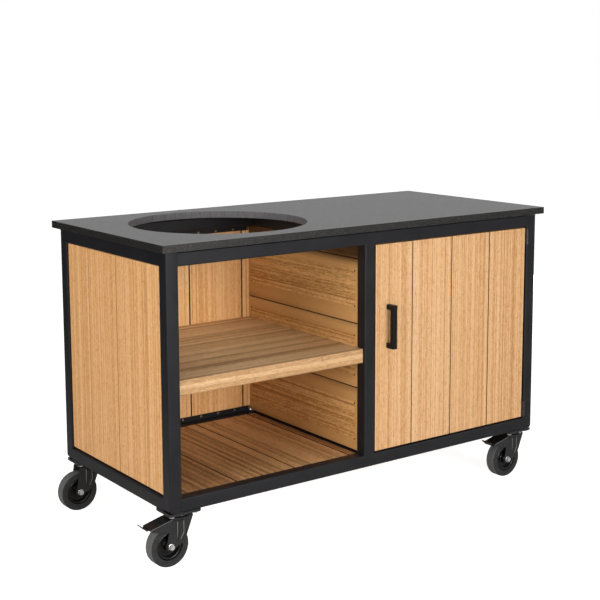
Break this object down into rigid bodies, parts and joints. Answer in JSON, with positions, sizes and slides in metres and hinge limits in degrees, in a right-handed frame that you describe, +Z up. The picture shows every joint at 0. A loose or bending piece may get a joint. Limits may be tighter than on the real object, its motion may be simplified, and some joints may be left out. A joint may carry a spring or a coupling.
{
  "type": "grill table",
  "caption": "Wheeled outdoor grill table: granite worktop with a round cut-out for a ceramic grill, open bay with a thick shelf, and a cupboard with one hinged door, in a steel frame.",
  "frame": {"origin": "on the floor, under the middle of the whole outline as it stands with its casters trailing to the left", "axes": "+X right along the front, +Y from the front to the back, +Z up"},
  "size_m": [1.5576, 0.71, 0.942],
  "materials": {
    "frame_black": "black powder coat, satin",
    "granite": "dark granite, honed, with fine pale specks",
    "pad_rubber": "plain black rubber",
    "bamboo_panel": "oiled bamboo, vertical strips",
    "bamboo_floor": "oiled bamboo, browner",
    "bamboo_shelf": "oiled bamboo, solid plank with node marks",
    "bamboo_door": "oiled bamboo, the palest boards",
    "tyre_rubber": "black solid rubber",
    "core_plastic": "black moulded wheel core",
    "caster_black": "black lacquered pressed steel",
    "zinc": "bright zinc plating",
    "hinge_steel": "satin steel",
    "catch_plastic": "black housing round a magnet"
  },
  "bodies": {
    "table": {"back_angles": "frame_black", "back_boards": "bamboo_panel", "bottom_rails": "frame_black", "caster_bolts": "zinc", "caster_kingpins": "zinc", "caster_plates": "caster_black", "caster_rings": "zinc", "corner_gussets": "frame_black", "divider_angle": "frame_black", "divider_boards": "bamboo_panel", "door_catch": "catch_plastic", "floor_bearers": "frame_black", "floor_boards": "bamboo_floor", "hinge_frame_leaves": "hinge_steel", "hinge_frame_screws": "zinc", "hinge_pins": "hinge_steel", "middle_post_front": "frame_black", "middle_post_rear": "frame_black", "panel_screws": "zinc", "post_front_left": "frame_black", "post_front_right": "frame_black", "post_rear_left": "frame_black", "post_rear_right": "frame_black", "shelf": "bamboo_shelf", "shelf_pins": "zinc", "side_angles": "frame_black", "side_boards_left": "bamboo_panel", "side_boards_right": "bamboo_panel", "top_rails": "frame_black", "worktop": "granite", "worktop_pads": "pad_rubber"},
    "door": {"door_boards": "bamboo_door", "door_battens": "bamboo_panel", "door_screws": "zinc", "door_handle": "frame_black", "handle_screws": "zinc", "hinge_door_leaves": "hinge_steel", "hinge_door_screws": "zinc", "strike_plate": "zinc"},
    "swivel_front_left": {"fork_front_left": "caster_black", "axle_front_left": "zinc", "pedal_pin_front_left": "zinc"},
    "wheel_front_left": {"wheel_core_front_left": "core_plastic", "tyre_front_left": "tyre_rubber"},
    "brake_front_left": {"pedal_front_left": "caster_black"},
    "swivel_front_right": {"fork_front_right": "caster_black", "axle_front_right": "zinc", "pedal_pin_front_right": "zinc"},
    "wheel_front_right": {"wheel_core_front_right": "core_plastic", "tyre_front_right": "tyre_rubber"},
    "brake_front_right": {"pedal_front_right": "caster_black"},
    "swivel_rear_left": {"fork_rear_left": "caster_black", "axle_rear_left": "zinc"},
    "wheel_rear_left": {"wheel_core_rear_left": "core_plastic", "tyre_rear_left": "tyre_rubber"},
    "swivel_rear_right": {"fork_rear_right": "caster_black", "axle_rear_right": "zinc"},
    "wheel_rear_right": {"wheel_core_rear_right": "core_plastic", "tyre_rear_right": "tyre_rubber"}
  },
  "joints": [
    {"name": "door_hinge", "type": "hinge", "parent": "table", "child": "door", "pos_m": [0.7165, -0.329, 0.5415], "axis": [0, 0, 1], "range_deg": [0, 175]},
    {"name": "swivel_front_left", "type": "hinge", "parent": "table", "child": "swivel_front_left", "pos_m": [-0.64875, -0.2825, 0.145], "axis": [0, 0, 1], "continuous": true},
    {"name": "roll_front_left", "type": "hinge", "parent": "swivel_front_left", "child": "wheel_front_left", "pos_m": [-0.68875, -0.2825, 0.0625], "axis": [0, 1, 0], "continuous": true},
    {"name": "brake_front_left", "type": "hinge", "parent": "swivel_front_left", "child": "brake_front_left", "pos_m": [-0.67875, -0.2825, 0.134], "axis": [0, -1, 0], "range_deg": [0, 9.5]},
    {"name": "swivel_front_right", "type": "hinge", "parent": "table", "child": "swivel_front_right", "pos_m": [0.70625, -0.2825, 0.145], "axis": [0, 0, 1], "continuous": true},
    {"name": "roll_front_right", "type": "hinge", "parent": "swivel_front_right", "child": "wheel_front_right", "pos_m": [0.66625, -0.2825, 0.0625], "axis": [0, 1, 0], "continuous": true},
    {"name": "brake_front_right", "type": "hinge", "parent": "swivel_front_right", "child": "brake_front_right", "pos_m": [0.67625, -0.2825, 0.134], "axis": [0, -1, 0], "range_deg": [0, 9.5]},
    {"name": "swivel_rear_left", "type": "hinge", "parent": "table", "child": "swivel_rear_left", "pos_m": [-0.64875, 0.2925, 0.145], "axis": [0, 0, 1], "continuous": true},
    {"name": "roll_rear_left", "type": "hinge", "parent": "swivel_rear_left", "child": "wheel_rear_left", "pos_m": [-0.68875, 0.2925, 0.0625], "axis": [0, 1, 0], "continuous": true},
    {"name": "swivel_rear_right", "type": "hinge", "parent": "table", "child": "swivel_rear_right", "pos_m": [0.70625, 0.2925, 0.145], "axis": [0, 0, 1], "continuous": true},
    {"name": "roll_rear_right", "type": "hinge", "parent": "swivel_rear_right", "child": "wheel_rear_right", "pos_m": [0.66625, 0.2925, 0.0625], "axis": [0, 1, 0], "continuous": true}
  ]
}
